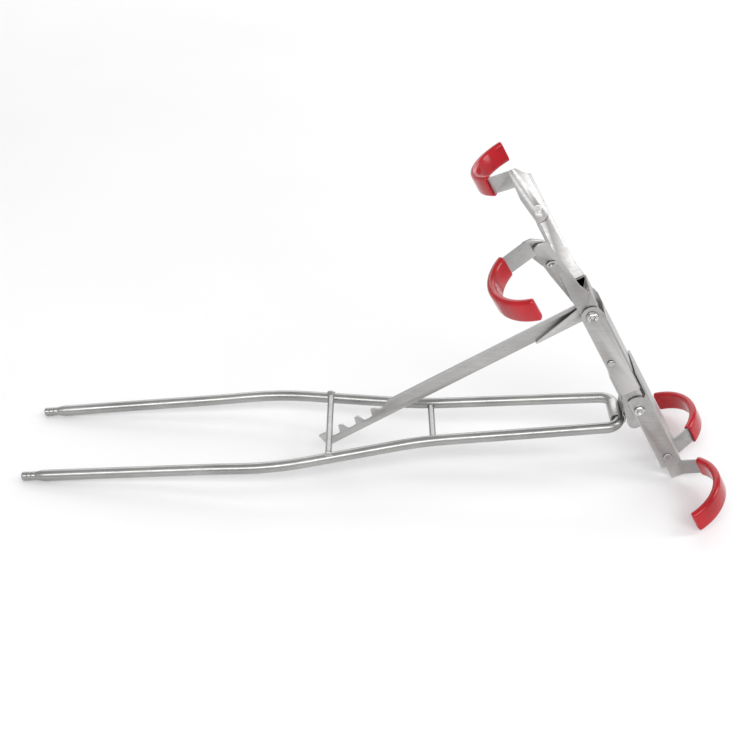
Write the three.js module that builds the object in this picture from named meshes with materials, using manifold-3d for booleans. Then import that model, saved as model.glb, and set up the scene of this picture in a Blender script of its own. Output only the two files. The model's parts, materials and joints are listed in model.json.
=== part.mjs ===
// Folding twin rod rest: a bent-rod leg frame, a channel bar hinged on its end, a toothed strut that
// props the bar on a rung, and a fork with two sleeved hooks at each end of the bar.
// Millimetres, +Z up. It stands on its two leg tips and its two rear hooks.
import * as THREE from 'three';
import { mergeVertices } from 'three/addons/utils/BufferGeometryUtils.js';
import Module from 'manifold-3d';

const wasm = await Module();
wasm.setup();

// ---- driving dimensions ----------------------------------------------------------------------
const GAP = 0.3;                 // play between touching pieces
const SHEET = 1.2;               // sheet thickness of the folded pieces

// Leg frame: X runs from the tips to the hinge, Y across, Z normal to the frame's plane.
const ROD_R = 3.2;               // leg rod radius
const LEG_LENGTH = 345;          // tips to the hinge axis
const TIP_HALF = 32.8;           // half spacing of the legs at the tips
const KNEE_X = 106;              // where each leg kinks outwards
const KNEE_HALF = 35.3;
const FLARE_X = 145;             // widest place
const FLARE_HALF = 37.5;
const NECK_X = 231;              // end of the inward run
const NECK_HALF = 19.2;
const HINGE_HALF = 15.4;         // half spacing where the hinge bend starts
const HINGE_BEND = 8;            // corner radius of the hinge end
const TIP_R = 2.5;               // swaged tip radius
const TIP_SWAGE = 14;            // length of the swaged, grooved tip
const TIP_NOSE = 1.6;            // radius of the blunt end face
const GROOVE = 0.45;             // depth of the tip's ring grooves
const GROOVE_PITCH = 2.6;
const BENDS = [12, 18, 14, HINGE_BEND];  // how far each bend of a leg reaches along its straights

const RUNG_R = 1.9;
const STRUT_RUNG_X = 176.8;      // the rung that the strut's teeth bear on
const STRUT_RUNG_Z = 1.8;
const BRACE_RUNG_X = 237;
const BRACE_RUNG_Z = -0.5;
const WELD_R = 2.7;              // weld fillet at a rung's end
const WELD_LENGTH = 3.5;
const TRIM = 5;                  // depth of the cutters that end a rung on the rods' centre lines

// Bar: drawn lying along the legs, then turned up about the hinge axis. In its own frame the front
// is at -X, the rear at +X, the web on top and the open side below; "up" is the height above the axis.
const BAR_ANGLE = 65.8;          // degrees between the bar and the legs
const BAR_HALF = 12;             // half of the channel's outer width
const BAR_TOP = 20.7;            // outer face of the web
const BAR_EDGE = 8.2;            // free edges of the flanges
const BAR_REAR = -17;            // rear end of the main channel
const WEB_FRONT = -66;           // front end of the web; the flanges run on as ears
const PIVOT_X = -73.4;           // strut and front fork pivot
const PIVOT_UP = 14.2;
const EAR_R = 6;                 // rounded front ends of the flanges
const PIN_X = -40.2;             // cross pin that holds the pivot bracket
const PIN_UP = 11.6;
const REAR_PIVOT_X = -2.6;
const REAR_PIVOT_UP = 13.7;
const BRACKET_FRONT = -46;
const BRACKET_REAR = 9;
const BRACKET_LOW = 4;           // lowest point of the bracket's ears
const BRACKET_SLOPE = { x: 1.6, up: 12.8 };  // cut-back corner under the folding rear channel
const BRACKET_END_R = 4;
const CLIP_HALF = 8.2;           // half width of the hinge clip
const CLIP_REACH = -29;          // where the clip's tail ends
const CLIP_OPEN = 118;           // degrees round the rod where the tail leaves the wrap
const CLIP_WRAP = 322;           // degrees of rod that the wrap covers
const CLIP_BEND = -9;            // where the tail turns level with the bar

// Front fork: a yoke inside the channel's ears, with an arm running out from each cheek.
const YOKE_REAR = -77.5;         // rear edge of the yoke's web
const YOKE_FRONT = -86.5;
const YOKE_HALF = BAR_HALF - SHEET - GAP;
const YOKE_END_R = 5;            // rounded end of each cheek, about the pivot
const ARM_BEND_X = -87.5;
const ARM_SPLAY = 29.5;          // degrees each arm leans outwards
const ARM_LENGTH = 65;

// Rear fork.
const TONGUE_FRONT = -28.5;      // its web laps over the main channel as the stop
const REAR_END = 42.5;
const REAR_EDGE = 10;
const REAR_END_R = 9.5;          // rounded front ends of its flanges, about the rear pivot

// Hooks: a flat root riveted to the arm, then a strip bent round a cup.
const STRIP = 10.4;              // strip width
const CUP_R = 27.6;              // radius of the bent cup
const SLEEVE_WALL = 1.3;
const SLEEVE_END = 2.6;          // sleeve past the strip's end
const SLEEVE_FROM = 1;           // steps of the strip's line left bare at its root
// A hook's station x on the bar, its root, its cup's centre, the cup's arc in degrees and its lean.
const FRONT_HOOK = {
  x: -144, rootY: 41.8, rootUp: 5.9, cupY: 67.3, cupUp: 10.3, from: 225, to: 114, lean: 5,
};
const REAR_HOOK = {
  x: 48, rootY: 9.9, rootUp: 20, cupY: 34, cupUp: 10.5, from: -41, to: 68, lean: 0,
};
const CUP_STEPS = 16;

// Strut.
const STRUT_ANGLE = 27.75;       // degrees between the strut and the legs
const STRUT_HALF = 4.7;
const STRUT_T = 1.5;
const STRUT_END = 176.5;         // pivot to the hooked tip
const RUNG_SEAT = 167;           // pivot to the middle of the notch under the rung
const TOOTH_PITCH = 11.1;
const TOOTH_DEPTH = 5;
const TOOTH_COUNT = 4;
const NOTCH_MOUTH = 4.4;         // half width of a notch at the teeth's tops
const NOTCH_FLOOR = 2.6;
const TOOTH_TOP = 4.2;           // tooth height above the strut's centre line
const WING_LENGTH = 36;          // folded wing at the pivot end
const WING_GAP = 1.6;

const RIVET_R = 2;
const PIN_R = 1.25;
const RIVET_HEAD_R = 3.4;
const HOOK_RIVET_R = 1.5;        // tubular rivets that hold the hooks
const ARM_RIVET_ALONG = 44;      // along the arm from its bend
const ARM_RIVET_UP = 10;
const REAR_RIVET_X = 36;
const REAR_RIVET_UP = 16;

// ---- materials -------------------------------------------------------------------------------
const metal = (color, roughness) => new THREE.MeshStandardMaterial({ color, roughness, metalness: 1 });
const ROD_STEEL = metal(0xc4c4c2, 0.28);
const SHEET_STEEL = metal(0xa9a7a4, 0.45);
const RIVET_STEEL = metal(0xd6d6d4, 0.2);
const RED_VINYL = new THREE.MeshStandardMaterial({ color: 0xc01020, roughness: 0.28, metalness: 0 });

// ---- solids ----------------------------------------------------------------------------------
const rad = THREE.MathUtils.degToRad;
const basis = (x, y, z) => new THREE.Matrix4().makeBasis(
  new THREE.Vector3(...x), new THREE.Vector3(...y), new THREE.Vector3(...z));
const ALONG_X = basis([0, 1, 0], [0, 0, 1], [1, 0, 0]);   // a (y, z) outline pushed along +X
const ALONG_Y = basis([1, 0, 0], [0, 0, 1], [0, -1, 0]);  // an (x, z) outline pushed along -Y

function outline(points) {
  return new THREE.Shape(points.map(([a, b]) => new THREE.Vector2(a, b)));
}

// A prism of an outline in the (y, z) plane, from x0 to x1.
function prismX(shape, x0, x1) {
  const g = new THREE.ExtrudeGeometry(shape, { depth: x1 - x0, bevelEnabled: false, curveSegments: 8 });
  return g.applyMatrix4(ALONG_X).translate(x0, 0, 0);
}

// A prism of an outline in the (x, z) plane, from y0 to y1.
function prismY(shape, y0, y1) {
  const g = new THREE.ExtrudeGeometry(shape, { depth: y1 - y0, bevelEnabled: false, curveSegments: 8 });
  return g.applyMatrix4(ALONG_Y).translate(0, y1, 0);
}

function block(x0, x1, y0, y1, z0, z1) {
  return new THREE.BoxGeometry(x1 - x0, y1 - y0, z1 - z0)
    .translate((x0 + x1) / 2, (y0 + y1) / 2, (z0 + z1) / 2);
}

// A round bar along Y.
function barY(x, z, r, y0, y1, sides = 20) {
  return new THREE.CylinderGeometry(r, r, y1 - y0, sides).translate(x, (y0 + y1) / 2, z);
}

function toManifold(geometry) {
  const g = geometry.clone();
  for (const name of ['normal', 'uv']) g.deleteAttribute(name);
  const merged = mergeVertices(g, 1e-4);
  return new wasm.Manifold(new wasm.Mesh({
    numProp: 3,
    vertProperties: new Float32Array(merged.attributes.position.array),
    triVerts: new Uint32Array(merged.index.array),
  }));
}

function toGeometry(manifold) {
  const mesh = manifold.getMesh();
  const g = new THREE.BufferGeometry();
  g.setAttribute('position', new THREE.BufferAttribute(new Float32Array(mesh.vertProperties), 3));
  g.setIndex(new THREE.BufferAttribute(new Uint32Array(mesh.triVerts), 1));
  g.computeVertexNormals();
  return g;
}

// A turned solid round Y, from its (radius, height) profile.
function turned(profile, sides) {
  return new THREE.LatheGeometry(profile.map(([r, y]) => new THREE.Vector2(r, y)), sides);
}

// The first geometries joined, less the second ones.
function solid(joined, cut = []) {
  let body = toManifold(joined[0]);
  for (const g of joined.slice(1)) body = body.add(toManifold(g));
  for (const g of cut) body = body.subtract(toManifold(g));
  return toGeometry(body);
}

function piece(name, geometry, material) {
  const mesh = new THREE.Mesh(geometry, material);
  mesh.name = name;
  return mesh;
}

// ---- leg frame -------------------------------------------------------------------------------
// The rod's centre line, from the far tip round the hinge end to the near tip.
function legCurve() {
  const v = (x, y) => new THREE.Vector3(x, y, 0);
  const path = new THREE.CurvePath();
  const marks = [
    [TIP_SWAGE, TIP_HALF], [KNEE_X, KNEE_HALF], [FLARE_X, FLARE_HALF], [NECK_X, NECK_HALF],
    [LEG_LENGTH, HINGE_HALF], [LEG_LENGTH, -HINGE_HALF], [NECK_X, -NECK_HALF], [FLARE_X, -FLARE_HALF],
    [KNEE_X, -KNEE_HALF], [TIP_SWAGE, -TIP_HALF],
  ];
  const reach = [0, ...BENDS, ...BENDS.toReversed()];
  let from = v(...marks[0]);
  for (let i = 1; i < marks.length - 1; i++) {
    const at = v(...marks[i]);
    const into = at.clone().sub(v(...marks[i - 1])).normalize();
    const out = v(...marks[i + 1]).sub(at).normalize();
    const start = at.clone().addScaledVector(into, -reach[i]);
    const end = at.clone().addScaledVector(out, reach[i]);
    path.add(new THREE.LineCurve3(from, start));
    path.add(new THREE.QuadraticBezierCurve3(start, at, end));
    from = end;
  }
  path.add(new THREE.LineCurve3(from, v(...marks.at(-1))));
  return path;
}

// Where the far rod is at a station along the legs, and how steeply it closes in there.
function rodAt(x) {
  const path = legCurve();
  let low = 0;
  let high = 0.45;
  while (high - low > 1e-6) {
    const middle = (low + high) / 2;
    if (path.getPoint(middle).x < x) low = middle;
    else high = middle;
  }
  const tangent = path.getTangent(low);
  return { half: path.getPoint(low).y, slope: Math.atan2(tangent.y, tangent.x) };
}

// A swaged tip with ring grooves, from its blunt end at X = 0 to the plain rod.
function legTip(side) {
  const profile = [[0, 0], [TIP_NOSE, 0], [TIP_R, 0.8]];
  for (let x = 2.4; x < TIP_SWAGE - 4; x += GROOVE_PITCH) {
    profile.push([TIP_R, x], [TIP_R - GROOVE, x + 0.5], [TIP_R, x + 1]);
  }
  profile.push([TIP_R, TIP_SWAGE - 3], [ROD_R, TIP_SWAGE - 0.5], [ROD_R, TIP_SWAGE + 4], [0, TIP_SWAGE + 4]);
  const g = turned(profile, 14);
  const heading = Math.atan2(side * (KNEE_HALF - TIP_HALF), KNEE_X);
  return g.rotateZ(-Math.PI / 2).rotateZ(heading).translate(0, side * (TIP_HALF - 0.1), 0);
}

function legFrame() {
  const section = new THREE.Shape().absarc(0, 0, ROD_R, 0, 2 * Math.PI);
  const rod = new THREE.ExtrudeGeometry(section, {
    extrudePath: legCurve(), steps: 170, curveSegments: 7, bevelEnabled: false });
  return piece('leg_frame', solid([rod, legTip(1), legTip(-1)]), ROD_STEEL);
}

// A round rung with a weld fillet at each end, cut to the rods that it meets.
function rung(name, x, z) {
  const { half, slope } = rodAt(x);
  const reach = half + ROD_R;
  const profile = [
    [0, -reach], [WELD_R, -reach], [WELD_R, -half + ROD_R + 0.4], [RUNG_R, -half + ROD_R + WELD_LENGTH],
    [RUNG_R, half - ROD_R - WELD_LENGTH], [WELD_R, half - ROD_R - 0.4], [WELD_R, reach], [0, reach],
  ];
  const bar = turned(profile, 16).translate(x, 0, z);
  const rods = [1, -1].map((side) => {
    const cutter = new THREE.CylinderGeometry(ROD_R + GAP, ROD_R + GAP, 40, 24).rotateZ(Math.PI / 2);
    return cutter.rotateZ(side * slope).translate(x, side * half, 0);
  });
  const outside = [half, -half - TRIM].map((y) => block(x - TRIM, x + TRIM, y, y + TRIM, z - TRIM, z + TRIM));
  return piece(name, solid([bar], [...rods, ...outside]), ROD_STEEL);
}

// ---- bar -------------------------------------------------------------------------------------
// A channel section, open below, with small bend radii outside.
function channelSection(half, top, edge) {
  const r = 1.5;
  const shape = new THREE.Shape();
  shape.moveTo(-half, edge);
  shape.lineTo(-half + SHEET, edge);
  shape.lineTo(-half + SHEET, top - SHEET);
  shape.lineTo(half - SHEET, top - SHEET);
  shape.lineTo(half - SHEET, edge);
  shape.lineTo(half, edge);
  shape.lineTo(half, top - r);
  shape.absarc(half - r, top - r, r, 0, Math.PI / 2);
  shape.lineTo(-half + r, top);
  shape.absarc(-half + r, top - r, r, Math.PI / 2, Math.PI);
  return shape;
}

function mainChannel() {
  const body = prismX(channelSection(BAR_HALF, BAR_TOP, BAR_EDGE), PIVOT_X, BAR_REAR);
  const ears = [
    barY(PIVOT_X, PIVOT_UP, EAR_R, -BAR_HALF, -BAR_HALF + SHEET, 32),
    barY(PIVOT_X, PIVOT_UP, EAR_R, BAR_HALF - SHEET, BAR_HALF, 32),
  ];
  const holes = [
    block(PIVOT_X - 1, WEB_FRONT, -BAR_HALF + SHEET, BAR_HALF - SHEET, PIVOT_UP, BAR_TOP + 1),
    barY(PIVOT_X, PIVOT_UP, RIVET_R + GAP, -15, 15),
    barY(PIN_X, PIN_UP, PIN_R + GAP, -15, 15),
  ];
  return piece('main_channel', solid([body, ...ears], holes), SHEET_STEEL);
}

// Two ears inside the channel, joined by a web against the channel's own; the rear fork hangs on them.
function pivotBracket() {
  const half = BAR_HALF - SHEET - GAP;
  const top = BAR_TOP - SHEET - GAP;
  const ear = new THREE.Shape();
  ear.moveTo(BRACKET_FRONT, top);
  ear.lineTo(BRACKET_FRONT, BAR_EDGE + 1);
  ear.lineTo(BAR_REAR - 1, BAR_EDGE + 0.6);
  ear.lineTo(2, BRACKET_LOW);
  ear.absarc(BRACKET_REAR - BRACKET_END_R, BRACKET_LOW + BRACKET_END_R, BRACKET_END_R, -Math.PI / 2, 0);
  ear.lineTo(BRACKET_REAR, BRACKET_SLOPE.up);
  ear.lineTo(BRACKET_SLOPE.x, top);
  const sides = [prismY(ear, -half, -half + SHEET), prismY(ear, half - SHEET, half)];
  const web = block(BRACKET_FRONT, -12, -half, half, top - SHEET, top);
  const holes = [
    barY(PIN_X, PIN_UP, PIN_R + GAP, -15, 15),
    barY(REAR_PIVOT_X, REAR_PIVOT_UP, RIVET_R + GAP, -15, 15),
    barY(0, 0, ROD_R + SHEET + 2 * GAP, -15, 15),
  ];
  return piece('pivot_bracket', solid([...sides, web], holes), SHEET_STEEL);
}

// A strap wrapped round the rod at the hinge end; its tail runs up the channel's open side.
function hingeClip() {
  const inner = ROD_R + GAP;
  const outer = inner + SHEET;
  const tailUp = BAR_EDGE - GAP;
  const wrap = new THREE.Shape();
  const open = rad(CLIP_OPEN);
  const closeAt = rad(CLIP_OPEN - CLIP_WRAP);
  wrap.absarc(0, 0, outer, open, closeAt, true);
  wrap.absarc(0, 0, inner, closeAt, open, false);
  const tail = new THREE.Shape();
  const a = [Math.cos(open), Math.sin(open)];
  tail.moveTo(a[0] * inner, a[1] * inner);
  tail.lineTo(a[0] * outer, a[1] * outer);
  tail.lineTo(CLIP_BEND, tailUp);
  tail.lineTo(CLIP_REACH, tailUp);
  tail.lineTo(CLIP_REACH, tailUp - SHEET);
  tail.lineTo(CLIP_BEND + SHEET / 2, tailUp - SHEET);
  const folds = [wrap, tail].map((shape) => prismY(shape, -CLIP_HALF, CLIP_HALF));
  return piece('hinge_clip', solid(folds), SHEET_STEEL);
}

// A rivet along Y with a domed head at each end, from its shank radius and the faces it clamps.
function rivet(name, x, up, shank, head, dome, yNear, yFar) {
  const cap = (from, step) => {
    const rings = [];
    for (let i = 0; i <= 4; i++) {
      const a = (i / 4) * Math.PI / 2;
      rings.push([head * Math.cos(a), from + step * dome * Math.sin(a)]);
    }
    return rings;
  };
  const near = cap(yNear - GAP, -1).reverse();
  const far = cap(yFar + GAP, 1);
  near[0][0] = 0;
  far.at(-1)[0] = 0;
  const profile = [...near, [shank, yNear - GAP], [shank, yFar + GAP], ...far];
  const g = turned(profile, 18);
  return piece(name, solid([g.translate(x, 0, up)]), RIVET_STEEL);
}

// A bushing on the main pivot, between the strut and the channel's side.
function spacer(name, y0, y1) {
  const tube = barY(PIVOT_X, PIVOT_UP, RIVET_R + 1.3, y0, y1, 18);
  const bore = barY(PIVOT_X, PIVOT_UP, RIVET_R + 0.1, y0 - 1, y1 + 1, 18);
  return piece(name, solid([tube], [bore]), RIVET_STEEL);
}

// ---- forks -----------------------------------------------------------------------------------
// One arm's outline: its distance along the arm from the bend, and its height.
function armOutline() {
  const arm = new THREE.Shape();
  arm.moveTo(1, 7.8);
  arm.lineTo(-33, 6);
  arm.lineTo(-ARM_LENGTH + 6, 5.4);
  arm.quadraticCurveTo(-ARM_LENGTH, 5.6, -ARM_LENGTH, 10);
  arm.lineTo(-ARM_LENGTH + 1, 14.2);
  arm.lineTo(-45, 15);
  arm.lineTo(-11, 16.2);
  arm.lineTo(1, 18.5);
  return arm;
}

function forkYoke() {
  const top = BAR_TOP - SHEET - GAP;
  const joined = [block(YOKE_FRONT, YOKE_REAR, -YOKE_HALF, YOKE_HALF, top - SHEET, top)];
  for (const side of [-1, 1]) {
    const cheek = new THREE.Shape();
    cheek.moveTo(ARM_BEND_X - 0.3, 7.8);
    cheek.lineTo(PIVOT_X, PIVOT_UP - YOKE_END_R);
    cheek.absarc(PIVOT_X, PIVOT_UP, YOKE_END_R, -Math.PI / 2, Math.PI / 2);
    cheek.lineTo(YOKE_FRONT, top);
    cheek.lineTo(ARM_BEND_X - 0.3, 18.5);
    const y = [side * YOKE_HALF, side * (YOKE_HALF - SHEET)].sort((a, b) => a - b);
    joined.push(prismY(cheek, ...y));
    joined.push(alongArm(prismY(armOutline(), -SHEET / 2, SHEET / 2), side));
  }
  const holes = [
    barY(PIVOT_X, PIVOT_UP, RIVET_R + GAP, -20, 20),
    alongArm(armHole(), -1),
    alongArm(armHole(), 1),
  ];
  return piece('fork_yoke', solid(joined, holes), SHEET_STEEL);
}

// Moves what is drawn along -X from an arm's bend, about Y = 0, to its place on the splayed arm.
function alongArm(geometry, side) {
  return geometry.rotateZ(rad(-side * ARM_SPLAY)).translate(ARM_BEND_X, side * (YOKE_HALF - SHEET / 2), 0);
}

function armHole() {
  return hookHole().translate(-ARM_RIVET_ALONG, 0, ARM_RIVET_UP);
}

function rearChannel() {
  const top = BAR_TOP + GAP + SHEET;
  const body = prismX(channelSection(BAR_HALF, top, REAR_EDGE), TONGUE_FRONT, REAR_END);
  // The flanges stop at a rounded end about the pivot; only the web goes on as a tongue.
  const clear = new THREE.Shape();
  clear.moveTo(TONGUE_FRONT - 5, 0);
  clear.lineTo(TONGUE_FRONT - 5, top - SHEET);
  clear.lineTo(REAR_PIVOT_X - REAR_END_R, top - SHEET);
  clear.absarc(REAR_PIVOT_X, REAR_PIVOT_UP, REAR_END_R, rad(142), rad(205), false);
  clear.lineTo(REAR_PIVOT_X - 4, 0);
  const cut = [
    prismY(clear, -20, 20),
    barY(REAR_PIVOT_X, REAR_PIVOT_UP, RIVET_R + GAP, -20, 20),
    barY(REAR_RIVET_X, REAR_RIVET_UP, HOOK_RIVET_R + GAP, -20, 20),
  ];
  return piece('rear_channel', solid([body], cut), SHEET_STEEL);
}

// ---- hooks -----------------------------------------------------------------------------------
// Centre line of a hook's strip in (y, up), drawn for the far side: up its root, then round the cup.
function hookLine(hook, past = 0) {
  const line = [[hook.rootY, hook.rootUp]];
  const turn = Math.sign(hook.to - hook.from);
  const endAngle = hook.to + turn * THREE.MathUtils.radToDeg(past / CUP_R);
  for (let i = 0; i <= CUP_STEPS; i++) {
    const a = rad(hook.from + (endAngle - hook.from) * (i / CUP_STEPS));
    // Angles are measured from the up direction of the cup towards the outside.
    line.push([hook.cupY + CUP_R * Math.sin(a), hook.cupUp + CUP_R * Math.cos(a)]);
  }
  return line;
}

// A strip of given thickness along a centre line in (y, up).
function ribbon(line, thickness) {
  const left = [];
  const right = [];
  line.forEach(([y, z], i) => {
    const [y0, z0] = line[Math.max(i - 1, 0)];
    const [y1, z1] = line[Math.min(i + 1, line.length - 1)];
    const len = Math.hypot(y1 - y0, z1 - z0);
    const ny = -(z1 - z0) / len * thickness / 2;
    const nz = (y1 - y0) / len * thickness / 2;
    left.push([y + ny, z + nz]);
    right.unshift([y - ny, z - nz]);
  });
  return outline([...left, ...right]);
}

// A hook's (y, up) outline as a solid across its station on the bar, leaning back about its root.
function acrossBar(shape, half, hook, side) {
  return prismX(shape, -half, half).translate(0, -side * hook.rootY, 0)
    .rotateZ(rad(-side * hook.lean)).translate(hook.x, side * hook.rootY, 0);
}

const mirrored = (line, side) => line.map(([y, z]) => [side * y, z]);

function hookBlade(hook, side) {
  return acrossBar(ribbon(mirrored(hookLine(hook), side), SHEET), STRIP / 2, hook, side);
}

function sleeve(name, hook, side) {
  const thick = 2 * (GAP + SLEEVE_WALL) + SHEET;
  const half = STRIP / 2 + GAP + SLEEVE_WALL - 0.3;
  const outer = ribbon(mirrored(hookLine(hook, SLEEVE_END).slice(SLEEVE_FROM), side), thick);
  const core = ribbon(mirrored(hookLine(hook, GAP), side), SHEET + 2 * GAP);
  const hollow = acrossBar(core, STRIP / 2 + GAP, hook, side);
  return piece(name, solid([acrossBar(outer, half, hook, side)], [hollow]), RED_VINYL);
}

// The front hook's root lies on the inner face of its arm.
function frontHook(name, side) {
  const root = new THREE.Shape();
  root.moveTo(-36.6, 6.4);
  root.lineTo(-36.6, 10);
  root.absarc(-41, 10, 4.4, 0, Math.PI / 2);
  root.lineTo(-ARM_LENGTH + 1.5, 13.2);
  root.lineTo(-ARM_LENGTH - 5, 7.6);
  root.lineTo(-ARM_LENGTH - 5, 3.2);
  root.lineTo(-ARM_LENGTH + STRIP + 2, 3.2);
  const plate = prismY(root, -SHEET / 2, SHEET / 2).translate(0, -side * (SHEET + GAP), 0);
  const joined = [alongArm(plate, side), hookBlade(FRONT_HOOK, side)];
  return piece(name, solid(joined, [alongArm(armHole(), side)]), SHEET_STEEL);
}

function hookHole() {
  return new THREE.CylinderGeometry(HOOK_RIVET_R + GAP, HOOK_RIVET_R + GAP, 8, 16);
}

// A short tubular rivet: a cup on the outside, a flat head on the inside.
function cupRivet(name, place, side) {
  const r = HOOK_RIVET_R;
  const out = SHEET / 2 + GAP;
  const inn = -(SHEET * 1.5 + 2 * GAP);
  const profile = [
    [0, inn - 0.7], [2.4, inn - 0.7], [2.6, inn], [r, inn],
    [r, out], [2.7, out], [2.5, out + 0.6], [1.6, out + 0.6], [1.1, -SHEET / 2], [0, -SHEET / 2],
  ];
  const g = turned(profile, 16);
  if (side < 0) g.rotateX(Math.PI);
  return piece(name, solid([place(g)]), RIVET_STEEL);
}

function rearHook(name, side) {
  const y = side * REAR_HOOK.rootY;
  const root = new THREE.Shape();
  root.moveTo(REAR_END - 15, 12);
  root.lineTo(REAR_END + 10.5, 12.5);
  root.lineTo(REAR_END + 10.5, 21.2);
  root.lineTo(REAR_END + 0.8, 21.2);
  root.lineTo(REAR_END - 2, 19.8);
  root.lineTo(REAR_END - 15, 19.8);
  const plate = prismY(root, y - SHEET / 2, y + SHEET / 2);
  const hole = hookHole().translate(REAR_RIVET_X, y, REAR_RIVET_UP);
  return piece(name, solid([plate, hookBlade(REAR_HOOK, side)], [hole]), SHEET_STEEL);
}

// ---- strut -----------------------------------------------------------------------------------
// Drawn lying along -X from the pivot, teeth on top, then turned by the strut's angle.
// A notch is wider at its mouth, with a rounded corner that the rung slides into; the last one, by
// the shoulder, is shallow.
function notch(i) {
  const seat = -RUNG_SEAT + i * TOOTH_PITCH;
  const depth = i === TOOTH_COUNT - 1 ? TOOTH_DEPTH / 2 : TOOTH_DEPTH;
  const floor = TOOTH_TOP - depth;
  const shape = new THREE.Shape();
  shape.moveTo(seat + NOTCH_MOUTH, STRUT_HALF + 2);
  shape.lineTo(seat - NOTCH_MOUTH, STRUT_HALF + 2);
  shape.lineTo(seat - NOTCH_MOUTH, TOOTH_TOP);
  shape.lineTo(seat - NOTCH_FLOOR, floor + 0.5);
  shape.quadraticCurveTo(seat + NOTCH_FLOOR, floor - 0.6, seat + NOTCH_FLOOR + 0.2, floor + 1.2);
  shape.lineTo(seat + NOTCH_MOUTH - 0.3, TOOTH_TOP);
  return prismY(shape, -STRUT_T, STRUT_T);
}

function toothedStrut() {
  const shoulder = -RUNG_SEAT + (TOOTH_COUNT - 0.5) * TOOTH_PITCH;
  const plate = new THREE.Shape();
  plate.moveTo(-STRUT_END + 1, -STRUT_HALF);
  plate.lineTo(0, -STRUT_HALF);
  plate.absarc(0, 0, STRUT_HALF, -Math.PI / 2, Math.PI / 2);
  plate.lineTo(shoulder, STRUT_HALF);
  plate.lineTo(shoulder - 1, TOOTH_TOP);
  plate.lineTo(-STRUT_END, TOOTH_TOP);
  const blade = prismY(plate, -STRUT_T / 2, STRUT_T / 2);
  const notches = Array.from({ length: TOOTH_COUNT }, (_, i) => notch(i));
  // The wing is folded up from the bottom edge and tapers to nothing.
  const near = -STRUT_T / 2 - WING_GAP;
  const wing = new THREE.Shape();
  wing.moveTo(-WING_LENGTH, -STRUT_HALF);
  wing.lineTo(0, -STRUT_HALF);
  wing.absarc(0, 0, STRUT_HALF, -Math.PI / 2, Math.PI / 2);
  wing.lineTo(-WING_LENGTH, -STRUT_HALF + SHEET);
  const joined = [
    blade,
    prismY(wing, near - SHEET, near),
    block(-WING_LENGTH, 0, near - 0.1, 0, -STRUT_HALF, -STRUT_HALF + SHEET),
  ];
  const hole = new THREE.CylinderGeometry(RIVET_R + GAP, RIVET_R + GAP, 20, 20);
  return piece('toothed_strut', solid(joined, [hole, ...notches]), SHEET_STEEL);
}

// ---- assembly --------------------------------------------------------------------------------
function place(group, x, y, z, turn) {
  group.position.set(x, y, z);
  group.rotation.y = turn;
  return group;
}

const legs = new THREE.Group();
legs.add(
  legFrame(),
  rung('strut_rung', STRUT_RUNG_X, STRUT_RUNG_Z),
  rung('brace_rung', BRACE_RUNG_X, BRACE_RUNG_Z),
);

const bar = place(new THREE.Group(), LEG_LENGTH, 0, 0, rad(BAR_ANGLE));
bar.name = 'bar_at_hinge';
bar.add(
  mainChannel(),
  pivotBracket(),
  hingeClip(),
  rivet('bracket_pin', PIN_X, PIN_UP, PIN_R, 2.1, 0.8, -BAR_HALF, BAR_HALF),
  rivet('pivot_rivet', PIVOT_X, PIVOT_UP, RIVET_R, RIVET_HEAD_R, 2.4, -BAR_HALF, BAR_HALF),
  rivet('rear_rivet', REAR_PIVOT_X, REAR_PIVOT_UP, RIVET_R, 3, 1.1, -BAR_HALF, BAR_HALF),
  spacer('spacer_near', -YOKE_HALF + SHEET + GAP, -STRUT_T / 2 - WING_GAP - SHEET - GAP),
  spacer('spacer_far', STRUT_T / 2 + GAP, YOKE_HALF - SHEET - GAP),
  forkYoke(),
  rearChannel(),
);
for (const [word, side] of [['near', -1], ['far', 1]]) {
  const onArm = (g) => alongArm(g.translate(-ARM_RIVET_ALONG, 0, ARM_RIVET_UP), side);
  const onRear = (g) => g.translate(REAR_RIVET_X, side * (BAR_HALF - SHEET / 2), REAR_RIVET_UP);
  bar.add(
    frontHook(`front_hook_${word}`, side),
    sleeve(`front_sleeve_${word}`, FRONT_HOOK, side),
    cupRivet(`front_hook_rivet_${word}`, onArm, side),
    rearHook(`rear_hook_${word}`, side),
    sleeve(`rear_sleeve_${word}`, REAR_HOOK, side),
    cupRivet(`rear_hook_rivet_${word}`, onRear, side),
  );
}
legs.add(bar);

const ACROSS = new THREE.Vector3(0, 1, 0);
const pivot = new THREE.Vector3(PIVOT_X, 0, PIVOT_UP).applyAxisAngle(ACROSS, rad(BAR_ANGLE));
const strut = place(new THREE.Group(), LEG_LENGTH + pivot.x, 0, pivot.z, -rad(STRUT_ANGLE));
strut.name = 'strut_at_pivot';
strut.add(toothedStrut());
legs.add(strut);

// The legs pitch up so that the tips and the rear hooks stand on one level.
function lowest(group, from, to) {
  group.updateMatrixWorld(true);
  let best = new THREE.Vector3(0, 0, Infinity);
  group.traverse((mesh) => {
    if (!mesh.isMesh) return;
    const at = mesh.geometry.attributes.position;
    for (let i = 0; i < at.count; i++) {
      const p = new THREE.Vector3().fromBufferAttribute(at, i).applyMatrix4(mesh.matrixWorld);
      if (p.x >= from && p.x < to && p.z < best.z) best = p;
    }
  });
  return best;
}

const object = new THREE.Group();
object.add(legs);
for (let i = 0; i < 6; i++) {
  const middle = new THREE.Box3().setFromObject(object).getCenter(new THREE.Vector3()).x;
  const front = lowest(object, -Infinity, middle);
  const rear = lowest(object, middle, Infinity);
  legs.rotation.y += Math.atan2(rear.z - front.z, rear.x - front.x);
}
object.updateMatrixWorld(true);
const box = new THREE.Box3().setFromObject(object, true);
const centre = box.getCenter(new THREE.Vector3());
legs.position.set(-centre.x, -centre.y, -box.min.z);

export default object;
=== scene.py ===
import json
import math

import bmesh
import bpy
from mathutils import Matrix, Quaternion, Vector


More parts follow.
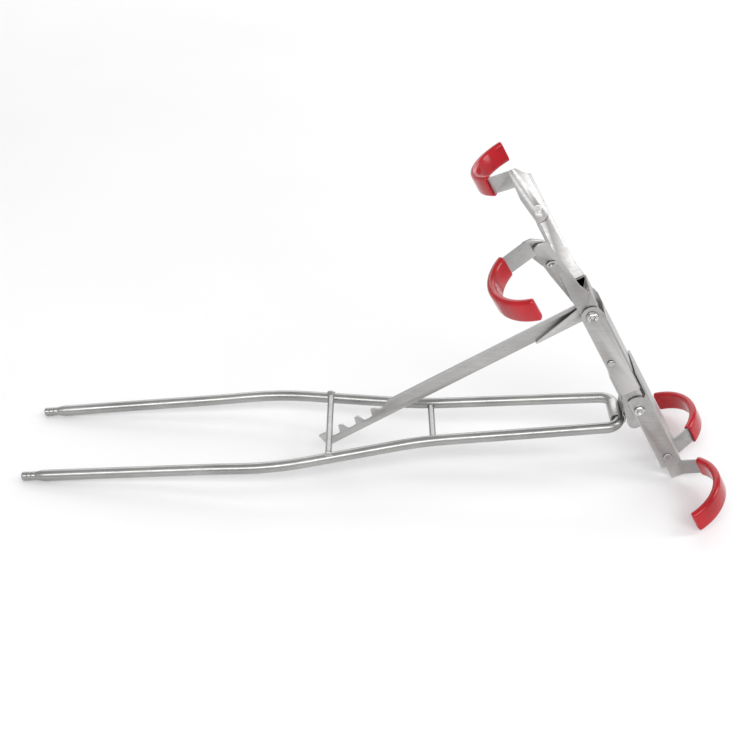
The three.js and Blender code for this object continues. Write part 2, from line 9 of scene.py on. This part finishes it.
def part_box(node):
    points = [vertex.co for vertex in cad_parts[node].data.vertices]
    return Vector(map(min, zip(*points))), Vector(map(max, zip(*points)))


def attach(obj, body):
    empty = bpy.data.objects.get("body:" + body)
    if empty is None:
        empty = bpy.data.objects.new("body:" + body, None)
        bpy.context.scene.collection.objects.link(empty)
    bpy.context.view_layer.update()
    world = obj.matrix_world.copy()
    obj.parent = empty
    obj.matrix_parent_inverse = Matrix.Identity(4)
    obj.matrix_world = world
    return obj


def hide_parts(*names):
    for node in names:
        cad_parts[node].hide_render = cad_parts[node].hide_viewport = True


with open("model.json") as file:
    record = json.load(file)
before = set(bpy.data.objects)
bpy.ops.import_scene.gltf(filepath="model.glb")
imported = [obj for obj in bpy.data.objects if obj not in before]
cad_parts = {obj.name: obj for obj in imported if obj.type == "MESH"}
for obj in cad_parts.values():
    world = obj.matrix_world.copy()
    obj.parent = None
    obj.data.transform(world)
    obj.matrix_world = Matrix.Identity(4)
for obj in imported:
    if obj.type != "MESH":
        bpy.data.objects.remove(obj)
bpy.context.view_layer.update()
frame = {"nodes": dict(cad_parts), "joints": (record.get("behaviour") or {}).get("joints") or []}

MM = 0.001
SIDES = {"near": -1, "far": 1}

# ---- driving dimensions ------------------------------------------------------------------------
# Lengths take MM here or where they are used. The hooks' angles are in degrees.
ROD_R = 3.2 * MM
LEG_LENGTH = 345 * MM            # tips to the hinge axis
BAR_TO_LEGS = math.radians(65.8)
STRUT_TO_BAR = math.radians(93.55)
PIVOT_STEP = (70.8, -0.5)        # main pivot to rear pivot, along the bar and up from it
TIP_R = 2.5 * MM
TIP_NECK = [(0.5, 1), (2.6, 0.93), (4.6, 0.82)]      # way along the tip, share of the rod's radius
TIP_NOSE = [(13.2, 1), (13.7, 0.87), (14, 0.62)]     # way along the tip, share of the tip's radius
RING_GROOVES = (5.4, 8.0, 10.6)  # where each groove starts along the tip
GROOVE = 0.3 * MM                # depth of a ring groove
ROD_MARKS = [(14, 32.8), (106, 35.3), (145, 37.5), (231, 19.2), (345, 15.4)]
ROD_REACHES = [12, 18, 14, 8]    # how far each bend reaches back along its straight
ROD_SIDES = 48
ROD_EDGE = 0.12 * MM

RUNG_R = 1.9 * MM
WELD_R = 2.8 * MM
WELD_LENGTH = 3.4 * MM
WELD_ROOT = 1.4 * MM             # length of a weld's widest part
WELD_CAP = 0.5 * MM

SHEET_EDGE = 0.22 * MM           # how far the cut edges of the sheet are broken
RIVET_R = 2 * MM
PIN_R = 1.25 * MM
MAIN_HEAD = (3.4 * MM, 2.4 * MM)  # radius and height of a head
REAR_HEAD = (3 * MM, 1.1 * MM)
PIN_HEAD = (2.1 * MM, 0.8 * MM)
HOOK_RIVET_R = 1.5 * MM
HOOK_RIVET_LENGTH = 3.3 * MM
HOOK_RIVET_SINK = 0.75           # from a hook rivet's stated place in to its middle

CUP_R = 27.6 * MM
SLEEVE_WIDTH = 13 * MM
SLEEVE_THICK = 4.4 * MM
SLEEVE_CORNER = 2.1 * MM
SLEEVE_WALL = 1.25 * MM
SLEEVE_PAST = 2.6 * MM           # how far the closed end runs past the hook's stop
SLEEVE_END_R = 0.9 * MM
SLEEVE_EDGE = 0.3 * MM
SLEEVE_INSET = 0.35 * MM         # each of two steps in the closed end
SLEEVE_DIP = 0.4 * MM
SLEEVE_MOUTH = 3.5 * MM          # depth of the open mouth
FRONT_HOOK = {"x": -144, "root": 41.8, "y": 67.3, "up": 10.3, "start": 225, "stop": 114, "lean": 5}
REAR_HOOK = {"x": 48, "root": 9.9, "y": 34, "up": 10.5, "start": -41, "stop": 68, "lean": 0}

ARM_BEND = (-87.5, 9.9)          # where an arm leaves the yoke: along the bar, and across it
ARM_SPLAY = math.radians(29.5)
ARM_RIVET = (44, 10)             # along the arm from its bend, and up
REAR_RIVET = (36, 11.4, 16)      # along the bar, across it, and up

SPIN = -1                        # the spin operator turns clockwise for a positive angle
END_REACH = 0.3 * MM             # how near its stated centre an end face is looked for

PIT_TONE = (0.09, 0.09, 0.088)
VINYL_DEEP = (0.30, 0.001, 0.005)
VINYL_RED = (0.47, 0.002, 0.009)
# Lighter pink red for the sleeves' edges: a painted rim highlight.
VINYL_RIM_HIGHLIGHT = (0.74, 0.035, 0.06)
FLOOR_TONES = ((0.86, 0.86, 0.86), (0.90, 0.90, 0.90))

# ---- the frame's own places --------------------------------------------------------------------
ACROSS = Vector((0, 1, 0))
joint_at = {joint["name"]: Vector(joint["pos_m"]) for joint in frame["joints"]}
hinge = joint_at["bar_tilt"]


def frame_matrix(along, up, at):
    """A frame with X along a piece, Y across the object and Z up from the piece."""
    return Matrix((
        (along.x, 0, up.x, at.x),
        (along.y, 1, up.y, at.y),
        (along.z, 0, up.z, at.z),
        (0, 0, 0, 1),
    ))


def bar_frame():
    reach = (joint_at["rear_fork_fold"] - joint_at["strut_swing"]).normalized()
    rise = reach.cross(ACROSS)
    tilt = math.atan2(PIVOT_STEP[1], PIVOT_STEP[0])
    along = reach * math.cos(tilt) - rise * math.sin(tilt)
    return frame_matrix(along, along.cross(ACROSS), hinge)


def leg_frame():
    along = BAR.to_3x3() @ Vector((math.cos(BAR_TO_LEGS), 0, math.sin(BAR_TO_LEGS)))
    return frame_matrix(along, along.cross(ACROSS), hinge - along * LEG_LENGTH)


BAR = bar_frame()
LEGS = leg_frame()


def slope(matrix):
    """The turn about Y that takes the X axis to a frame's own."""
    return math.atan2(-matrix[2][0], matrix[0][0])


# ---- materials ---------------------------------------------------------------------------------
def node(tree, kind, **values):
    made = tree.nodes.new(kind)
    for name, value in values.items():
        if hasattr(made, name):
            setattr(made, name, value)
        else:
            made.inputs[name].default_value = value
    return made


def new_material(name):
    material = bpy.data.materials.new(name)
    material.use_nodes = True
    return material, material.node_tree, material.node_tree.nodes["Principled BSDF"]


def pattern(tree, coordinates, scale, detail, roughness=0.55):
    noise = node(tree, "ShaderNodeTexNoise", Scale=scale, Detail=detail, Roughness=roughness)
    tree.links.new(coordinates, noise.inputs["Vector"])
    return noise.outputs["Fac"]


def spread(tree, value, low, high, to_low, to_high):
    ranged = node(tree, "ShaderNodeMapRange")
    for socket, number in zip(ranged.inputs[1:5], (low, high, to_low, to_high)):
        socket.default_value = number
    tree.links.new(value, ranged.inputs[0])
    return ranged.outputs[0]


def blended(tree, factor, first, second):
    """A colour between two, each a colour or another node's output."""
    mix = node(tree, "ShaderNodeMix", data_type="RGBA")
    tree.links.new(factor, mix.inputs[0])
    for socket, colour in ((mix.inputs[6], first), (mix.inputs[7], second)):
        if isinstance(colour, tuple):
            socket.default_value = (*colour, 1)
        else:
            tree.links.new(colour, socket)
    return mix.outputs[2]


def summed(tree, first, second):
    total = node(tree, "ShaderNodeMath", operation="ADD")
    tree.links.new(first, total.inputs[0])
    tree.links.new(second, total.inputs[1])
    return total.outputs[0]


def bumped(tree, height, strength, distance, under=None):
    bump = node(tree, "ShaderNodeBump", Strength=strength, Distance=distance)
    tree.links.new(height, bump.inputs["Height"])
    if under is not None:
        tree.links.new(under, bump.inputs["Normal"])
    return bump.outputs["Normal"]


def satin_steel(name, light, dark, edge_highlight, gloss, grain, turn):
    """Brushed steel: streaks along the piece, cloudy tone, small pits, and a painted highlight that
    makes sharp edges brighter.
    """
    material, tree, shader = new_material(name)
    shader.inputs["Metallic"].default_value = 1
    place = node(tree, "ShaderNodeTexCoord").outputs["Object"]
    mapping = node(tree, "ShaderNodeMapping")
    mapping.inputs["Rotation"].default_value = (0, -turn, 0)
    mapping.inputs["Scale"].default_value = (1, grain, grain)
    tree.links.new(place, mapping.inputs["Vector"])
    streaks = pattern(tree, mapping.outputs["Vector"], scale=55, detail=4)
    clouds = pattern(tree, place, scale=38, detail=3)
    pits = pattern(tree, place, scale=900, detail=2)
    tone = blended(tree, spread(tree, clouds, 0.3, 0.7, 0, 1), dark, light)
    streaked = blended(tree, spread(tree, streaks, 0.35, 0.75, 0, 0.55), tone, dark)
    pitted = blended(tree, spread(tree, pits, 0.66, 0.74, 0, 0.45), streaked, PIT_TONE)
    # Sharp edges (high pointiness) take a much brighter colour: a painted edge highlight.
    edges = node(tree, "ShaderNodeNewGeometry").outputs["Pointiness"]
    edge_highlight_mask = spread(tree, edges, 0.52, 0.62, 0, 0.8)
    tree.links.new(blended(tree, edge_highlight_mask, pitted, edge_highlight), shader.inputs["Base Color"])
    sheen = spread(tree, summed(tree, streaks, clouds), 0.7, 1.3, gloss[0], gloss[1])
    tree.links.new(sheen, shader.inputs["Roughness"])
    brushed = bumped(tree, streaks, 0.22, 0.00006)
    tree.links.new(bumped(tree, pits, 0.12, 0.00005, brushed), shader.inputs["Normal"])
    return material


def dipped_vinyl(name):
    """Glossy red dip coating, a little uneven and deeper in tone where it is thick, with a painted
    pink highlight on its edges.
    """
    material, tree, shader = new_material(name)
    shader.inputs["Coat Weight"].default_value = 0.3
    shader.inputs["Coat Roughness"].default_value = 0.05
    shader.inputs["Specular IOR Level"].default_value = 0.3
    shader.inputs["Subsurface Weight"].default_value = 0.06
    shader.inputs["Subsurface Radius"].default_value = (0.004, 0.001, 0.001)
    shader.inputs["Subsurface Scale"].default_value = 1
    place = node(tree, "ShaderNodeTexCoord").outputs["Object"]
    clouds = pattern(tree, place, scale=70, detail=3)
    ripples = pattern(tree, place, scale=150, detail=2)
    dust = pattern(tree, place, scale=1500, detail=3)
    deep = blended(tree, spread(tree, clouds, 0.3, 0.7, 0, 1), VINYL_DEEP, VINYL_RED)
    # Sharp edges (high pointiness) take a lighter pink red: a painted rim highlight.
    edges = node(tree, "ShaderNodeNewGeometry").outputs["Pointiness"]
    rim_highlight_mask = spread(tree, edges, 0.52, 0.66, 0, 0.6)
    tree.links.new(blended(tree, rim_highlight_mask, deep, VINYL_RIM_HIGHLIGHT), shader.inputs["Base Color"])
    tree.links.new(spread(tree, dust, 0.35, 0.7, 0.16, 0.26), shader.inputs["Roughness"])
    tree.links.new(bumped(tree, ripples, 0.2, 0.0004), shader.inputs["Normal"])
    return material


def pale_floor(name):
    material, tree, shader = new_material(name)
    place = node(tree, "ShaderNodeTexCoord").outputs["Object"]
    clouds = pattern(tree, place, scale=3, detail=4)
    tint = blended(tree, spread(tree, clouds, 0.3, 0.7, 0, 1), *FLOOR_TONES)
    tree.links.new(tint, shader.inputs["Base Color"])
    tree.links.new(spread(tree, clouds, 0.3, 0.7, 0.7, 0.8), shader.inputs["Roughness"])
    return material


ROD_STEEL = satin_steel(
    "drawn_rod_steel", light=(0.46, 0.46, 0.448), dark=(0.33, 0.33, 0.322),
    edge_highlight=(0.68, 0.68, 0.67), gloss=(0.26, 0.38), grain=12, turn=slope(LEGS))
SHEET_STEEL = satin_steel(
    "satin_sheet_steel", light=(0.47, 0.463, 0.453), dark=(0.35, 0.343, 0.336),
    edge_highlight=(0.82, 0.82, 0.81), gloss=(0.32, 0.48), grain=14, turn=slope(BAR))
STRUT_STEEL = satin_steel(
    "satin_strut_steel", light=(0.50, 0.493, 0.485), dark=(0.38, 0.373, 0.367),
    edge_highlight=(0.82, 0.82, 0.81), gloss=(0.32, 0.48), grain=14, turn=slope(BAR) - STRUT_TO_BAR)
RIVET_STEEL = satin_steel(
    "polished_rivet_steel", light=(0.62, 0.62, 0.61), dark=(0.42, 0.42, 0.41),
    edge_highlight=(0.85, 0.85, 0.85), gloss=(0.14, 0.28), grain=3, turn=0)
RED_VINYL = dipped_vinyl("dipped_red_vinyl")


# ---- handling a piece --------------------------------------------------------------------------
def clear_selection():
    if bpy.context.object and bpy.context.object.mode != "OBJECT":
        bpy.ops.object.mode_set(mode="OBJECT")
    bpy.ops.object.select_all(action="DESELECT")


def begin(name):
    """Names the piece that was just added and opens it for editing, all of it selected."""
    piece = bpy.context.object
    piece.name = name
    bpy.ops.object.transform_apply(location=True, rotation=True, scale=True)
    bpy.ops.object.mode_set(mode="EDIT")
    bpy.ops.mesh.select_mode(type="FACE")
    bpy.ops.mesh.select_all(action="SELECT")
    return piece


def pick_faces(piece, test):
    mesh = bmesh.from_edit_mesh(piece.data)
    for face in mesh.faces:
        face.select_set(bool(test(face)))
    mesh.select_flush_mode()
    bmesh.update_edit_mesh(piece.data)


def pick_end(piece, centre, heading):
    """Selects the flat face at a centre that looks along a heading, one way or the other."""
    pick_faces(piece, lambda face: (face.calc_center_median() - centre).length < END_REACH
               and abs(face.normal.dot(heading)) > 0.9)


def push(step):
    bpy.ops.mesh.extrude_region_move(TRANSFORM_OT_translate={"value": tuple(step)})


def settle(piece, matrix):
    """Leaves edit mode and puts the piece in its place, with the place in its mesh."""
    bpy.ops.object.mode_set(mode="OBJECT")
    piece.matrix_world = matrix
    bpy.ops.object.transform_apply(location=True, rotation=True, scale=True)


def face_outwards(piece):
    bpy.ops.object.mode_set(mode="EDIT")
    bpy.ops.mesh.select_all(action="SELECT")
    bpy.ops.mesh.remove_doubles(threshold=0.002 * MM)
    bpy.ops.mesh.normals_make_consistent(inside=False)
    bpy.ops.object.mode_set(mode="OBJECT")


def break_edges(piece, width, segments, angle):
    bevel = piece.modifiers.new("broken_edges", "BEVEL")
    bevel.width = width
    bevel.segments = segments
    bevel.limit_method = "ANGLE"
    bevel.angle_limit = math.radians(angle)
    bevel.use_clamp_overlap = False
    bevel.miter_outer = "MITER_ARC"
    bpy.ops.object.modifier_apply(modifier=bevel.name)


def dress(piece, material, slot_name, body, *stands_for, smooth=35):
    bpy.ops.object.shade_smooth_by_angle(angle=math.radians(smooth))
    piece.data.materials.clear()
    piece.data.materials.append(material)
    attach(piece, body)
    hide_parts(*stands_for)
    return piece


# ---- turned pieces -----------------------------------------------------------------------------
def grow(piece, centre, outward, radius, steps):
    """Carries on from the round face at centre: each step is a way forward and the radius there."""
    outward = outward.normalized()
    pick_end(piece, centre, outward)
    for forward, wide in steps:
        push(outward * forward)
        centre = centre + outward * forward
        ratio = wide / radius
        bpy.ops.transform.resize(value=(ratio, ratio, ratio), center_override=centre)
        radius = wide


def turned(name, radius, length, top, bottom, matrix, sides=40):
    """A turned piece along its own Z: a shank with steps out of its top and its bottom face."""
    clear_selection()
    bpy.ops.mesh.primitive_cylinder_add(vertices=sides, radius=radius, depth=length)
    piece = begin(name)
    grow(piece, Vector((0, 0, length / 2)), Vector((0, 0, 1)), radius, top)
    grow(piece, Vector((0, 0, -length / 2)), Vector((0, 0, -1)), radius, bottom)
    settle(piece, matrix)
    face_outwards(piece)
    return piece


def dome(radius, height, rings=7):
    """Steps for a domed head of this radius on a flat seat."""
    steps = [(0, radius)]
    risen = 0
    for ring in range(1, rings + 1):
        angle = ring / (rings + 0.4) * math.pi / 2
        level = height * math.sin(angle)
        steps.append((level - risen, radius * math.cos(angle)))
        risen = level
    return steps


def along_y(centre):
    return Matrix.Translation(centre) @ Matrix.Rotation(-math.pi / 2, 4, "X")


def middle(node_name):
    low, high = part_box(node_name)
    return (low + high) / 2


# ---- legs --------------------------------------------------------------------------------------
def rod_path():
    """Corner points from the far tip round the hinge end to the near tip, and the bends' reaches."""
    far = [Vector((x * MM, y * MM, 0)) for x, y in ROD_MARKS]
    near = [Vector((x * MM, -y * MM, 0)) for x, y in reversed(ROD_MARKS)]
    reaches = [reach * MM for reach in ROD_REACHES]
    return far + near, reaches + reaches[::-1]


def bent_rod(name, corners, reaches):
    heading = corners[1] - corners[0]
    clear_selection()
    bpy.ops.mesh.primitive_circle_add(
        vertices=ROD_SIDES, radius=ROD_R, fill_type="NGON", location=corners[0],
        rotation=(0, math.pi / 2, math.atan2(heading.y, heading.x)))
    rod = begin(name)
    at = corners[0]
    for before, corner, after, reach in zip(corners, corners[1:], corners[2:], reaches):
        into = (corner - before).normalized()
        out = (after - corner).normalized()
        turn = math.atan2(into.cross(out).z, into.dot(out))
        start = corner - into * reach
        push(start - at)
        left = Vector((-into.y, into.x, 0)) * math.copysign(reach / math.tan(abs(turn) / 2), turn)
        steps = max(4, round(abs(math.degrees(turn)) / 4))
        bpy.ops.mesh.spin(steps=steps, angle=SPIN * turn, center=start + left, axis=(0, 0, 1))
        at = corner + out * reach
    push(corners[-1] - at)
    return rod


def tip_steps():
    """The swaged tip, from the plain rod to its blunt end: a neck, three ring grooves and a nose."""
    marks = [(mark, share * ROD_R) for mark, share in TIP_NECK]
    for ring in RING_GROOVES:
        marks += [(ring, TIP_R), (ring + 0.5, TIP_R - GROOVE), (ring + 1, TIP_R)]
    marks += [(mark, share * TIP_R) for mark, share in TIP_NOSE]
    steps = []
    gone = 0
    for mark, radius in marks:
        steps.append(((mark - gone) * MM, radius))
        gone = mark
    return steps


def leg_rod():
    corners, reaches = rod_path()
    rod = bent_rod("leg_rod", corners, reaches)
    for tip, inner in ((corners[0], corners[1]), (corners[-1], corners[-2])):
        grow(rod, tip, tip - inner, ROD_R, tip_steps())
    settle(rod, LEGS)
    face_outwards(rod)
    break_edges(rod, ROD_EDGE, 2, 24)
    dress(rod, ROD_STEEL, "rod_steel", "legs", "leg_frame")


def rung(name, node_name):
    low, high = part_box(node_name)
    length = high.y - low.y - 2 * WELD_LENGTH
    weld = [(WELD_LENGTH * 0.35, RUNG_R * 1.04), (WELD_LENGTH * 0.35, (RUNG_R + WELD_R) / 2),
            (WELD_LENGTH * 0.3, WELD_R), (WELD_ROOT, WELD_R * 1.02), (WELD_CAP, WELD_R * 0.7)]
    piece = turned(name, RUNG_R, length, weld, weld, along_y(middle(node_name)))
    dress(piece, ROD_STEEL, "rod_steel", "legs", node_name)


# ---- folded sheet ------------------------------------------------------------------------------
def folded_sheet(name, node_name, body, material=SHEET_STEEL, edge=SHEET_EDGE):
    """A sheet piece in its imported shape, with its triangles joined into clean faces and its cut
    edges broken."""
    clear_selection()
    piece = bpy.data.objects.new(name, frame["nodes"][node_name].data.copy())
    bpy.context.scene.collection.objects.link(piece)
    piece.select_set(True)
    bpy.context.view_layer.objects.active = piece
    bpy.ops.mesh.customdata_custom_splitnormals_clear()
    bpy.ops.object.mode_set(mode="EDIT")
    bpy.ops.mesh.select_all(action="SELECT")
    bpy.ops.mesh.remove_doubles(threshold=0.01 * MM)
    bpy.ops.mesh.dissolve_limited(angle_limit=math.radians(1))
    bpy.ops.mesh.normals_make_consistent(inside=False)
    bpy.ops.object.mode_set(mode="OBJECT")
    break_edges(piece, edge, 2, 32)
    dress(piece, material, "sheet_steel", body, node_name, smooth=32)


# ---- vinyl sleeves -----------------------------------------------------------------------------
def hook_frame(hook, side):
    root = Vector((0, side * hook["root"] * MM, 0))
    lean = Matrix.Rotation(math.radians(-side * hook["lean"]), 4, "Z")
    station = Matrix.Translation(Vector((hook["x"] * MM, 0, 0)) + root)
    return BAR @ station @ lean @ Matrix.Translation(-root)


def sleeve(name, node_name, body, hook, side):
    """A dipped sleeve: an oblong section spun round the cup, with a rounded closed end and an
    open mouth round the strip."""
    start = math.radians(hook["start"]) * side
    turn = math.radians(hook["start"] - hook["stop"])
    turn = (turn + math.copysign(SLEEVE_PAST / CUP_R, turn)) * side
    cup = Vector((0, side * hook["y"] * MM, hook["up"] * MM))
    clear_selection()
    bpy.ops.mesh.primitive_plane_add(size=1)
    piece = begin(name)
    bpy.ops.transform.resize(value=(SLEEVE_WIDTH, SLEEVE_THICK, 1))
    bpy.ops.mesh.bevel(offset=SLEEVE_CORNER, segments=6, affect="VERTICES")
    outwards = Vector((0, math.sin(start), math.cos(start)))
    mouth = cup + outwards * CUP_R
    settle(piece, Matrix.Translation(mouth) @ Matrix.Rotation(math.pi / 2 - start, 4, "X"))
    bpy.ops.object.mode_set(mode="EDIT")
    bpy.ops.mesh.select_all(action="SELECT")
    bpy.ops.mesh.spin(steps=44, angle=SPIN * turn, center=cup, axis=(1, 0, 0))
    bpy.ops.mesh.bevel(offset=SLEEVE_END_R, segments=4, affect="EDGES")
    inwards = Matrix.Rotation(math.copysign(math.pi / 2, turn), 3, "X") @ outwards
    swing = Matrix.Rotation(turn, 3, "X")
    pick_end(piece, cup + swing @ outwards * CUP_R, swing @ inwards)
    bpy.ops.mesh.inset(thickness=SLEEVE_INSET)
    bpy.ops.mesh.inset(thickness=SLEEVE_INSET, depth=-SLEEVE_DIP)
    pick_end(piece, mouth, inwards)
    bpy.ops.mesh.inset(thickness=SLEEVE_WALL)
    push(inwards * SLEEVE_MOUTH)
    settle(piece, hook_frame(hook, side))
    face_outwards(piece)
    break_edges(piece, SLEEVE_EDGE, 3, 50)
    dress(piece, RED_VINYL, "red_vinyl", body, node_name, smooth=40)


# ---- rivets ------------------------------------------------------------------------------------
def rolled(radius, height):
    """Steps for a tubular rivet's rolled head: a rounded rim with a hollow middle."""
    shares = [(0, 1), (0.5, 0.99), (0.3, 0.88), (0.15, 0.72), (-0.1, 0.56), (-0.4, 0.44), (-0.2, 0.3)]
    return [(height * rise, radius * wide) for rise, wide in shares]


def headed_rivet(name, node_name, radius, head, shape, body):
    """A rivet across the object, with the same head at both ends."""
    head_radius, height = head
    low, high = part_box(node_name)
    length = high.y - low.y - 2 * height
    cap = shape(head_radius, height)
    piece = turned(name, radius, length, cap, cap, along_y(middle(node_name)))
    dress(piece, RIVET_STEEL, "rivet_steel", body, node_name)


def cup_head(radius):
    return [(0, radius), (0.3 * MM, radius), (0.3 * MM, 0.88 * radius), (0, 0.68 * radius),
            (-0.3 * MM, 0.55 * radius), (-1.1 * MM, 0.42 * radius)]


def pressed_head(radius):
    return [(0, radius), (0.12 * MM, 0.94 * radius), (0.03 * MM, 0.6 * radius)]


def hook_rivet(name, node_name, body, outside, place):
    """A short rivet through a hook's root, in the sheet's finish: its own head outside, and a
    pressed one inside."""
    inside = pressed_head(2.4 * MM)
    piece = turned(name, HOOK_RIVET_R, HOOK_RIVET_LENGTH, outside, inside, place)
    dress(piece, SHEET_STEEL, "rivet_steel", body, node_name)


def arm_rivet_place(side):
    """The rivet's own Z points out through the arm."""
    bend = Matrix.Translation((ARM_BEND[0] * MM, side * ARM_BEND[1] * MM, 0))
    splay = Matrix.Rotation(-side * ARM_SPLAY, 4, "Z")
    seat = Matrix.Translation((-ARM_RIVET[0] * MM, -side * HOOK_RIVET_SINK * MM, ARM_RIVET[1] * MM))
    return BAR @ bend @ splay @ seat @ Matrix.Rotation(-side * math.pi / 2, 4, "X")


def rear_rivet_place(side):
    x, y, up = REAR_RIVET
    seat = Matrix.Translation((x * MM, side * (y - HOOK_RIVET_SINK) * MM, up * MM))
    return BAR @ seat @ Matrix.Rotation(-side * math.pi / 2, 4, "X")


# ---- build -------------------------------------------------------------------------------------
leg_rod()
rung("rung_under_strut", "strut_rung")
rung("rung_by_hinge", "brace_rung")
folded_sheet("channel_sheet", "main_channel", "bar")
folded_sheet("bracket_sheet", "pivot_bracket", "bar")
folded_sheet("hinge_strap", "hinge_clip", "bar")
folded_sheet("yoke_sheet", "fork_yoke", "front_fork")
folded_sheet("rear_channel_sheet", "rear_channel", "rear_fork")
folded_sheet("strut_sheet", "toothed_strut", "strut", STRUT_STEEL)
headed_rivet("main_pivot_rivet", "pivot_rivet", RIVET_R, MAIN_HEAD, rolled, "bar")
headed_rivet("cross_pin", "bracket_pin", PIN_R, PIN_HEAD, dome, "bar")
headed_rivet("rear_pivot_rivet", "rear_rivet", RIVET_R, REAR_HEAD, rolled, "bar")
for word, side in SIDES.items():
    folded_sheet(f"front_strip_{word}", f"front_hook_{word}", "front_fork")
    folded_sheet(f"rear_strip_{word}", f"rear_hook_{word}", "rear_fork")
    sleeve(f"front_cover_{word}", f"front_sleeve_{word}", "front_fork", FRONT_HOOK, side)
    sleeve(f"rear_cover_{word}", f"rear_sleeve_{word}", "rear_fork", REAR_HOOK, side)
    hook_rivet(f"front_cup_rivet_{word}", f"front_hook_rivet_{word}", "front_fork",
               cup_head(2.7 * MM), arm_rivet_place(side))
    hook_rivet(f"rear_pressed_rivet_{word}", f"rear_hook_rivet_{word}", "rear_fork",
               pressed_head(2.5 * MM), rear_rivet_place(side))
    spacer = frame["nodes"][f"spacer_{word}"]
    spacer.data.materials.clear()
    spacer.data.materials.append(RIVET_STEEL)

# ---- studio ------------------------------------------------------------------------------------
# Where the camera stands, which way it looks, its roll and its lens in millimetres, then what the
# lights point at and how far the floor lies under the leg tips.
CAMERA_AT = Vector((-0.02098, -0.64488, 0.47861))
CAMERA_HEADING = Vector((0.02489, 0.83799, -0.54512))
CAMERA_ROLL = math.radians(2.94)
LENS = 64.16
LIGHT_AIM = Vector((0, 0, 0.06))
FLOOR_DROP = 0.3 * MM
AIR_TONE = (0.58, 0.58, 0.59, 1)


def studio_camera():
    clear_selection()
    bpy.ops.object.camera_add(location=CAMERA_AT)
    camera = bpy.context.object
    camera.name = "studio_camera"
    turn = CAMERA_HEADING.to_track_quat("-Z", "Y") @ Quaternion((0, 0, 1), CAMERA_ROLL)
    camera.rotation_euler = turn.to_euler()
    camera.data.lens = LENS
    camera.data.clip_start = 0.01
    bpy.context.scene.camera = camera


def soft_light(name, at, size, power):
    clear_selection()
    bpy.ops.object.light_add(type="AREA", location=at)
    light = bpy.context.object
    light.name = name
    light.rotation_euler = (LIGHT_AIM - Vector(at)).to_track_quat("-Z", "Y").to_euler()
    light.data.shape = "RECTANGLE"
    light.data.size, light.data.size_y = size
    light.data.energy = power


def studio():
    studio_camera()
    soft_light("front_light", (0, -1.15, 1.15), (2.4, 0.45), 17)
    soft_light("back_light", (0.1, 1.5, 0.9), (2.4, 1.1), 11)
    soft_light("side_light", (1.2, 0.1, 0.9), (0.5, 0.9), 5)
    clear_selection()
    bpy.ops.mesh.primitive_plane_add(size=8, location=(0, 0, -FLOOR_DROP))
    floor = bpy.context.object
    floor.name = "studio_floor"
    floor.data.materials.append(pale_floor("pale_floor"))
    world = bpy.data.worlds.new("studio_air")
    world.use_nodes = True
    air = world.node_tree.nodes["Background"]
    air.inputs["Color"].default_value = AIR_TONE
    air.inputs["Strength"].default_value = 1
    bpy.context.scene.world = world


studio()
bpy.context.scene.view_settings.view_transform = "Standard"
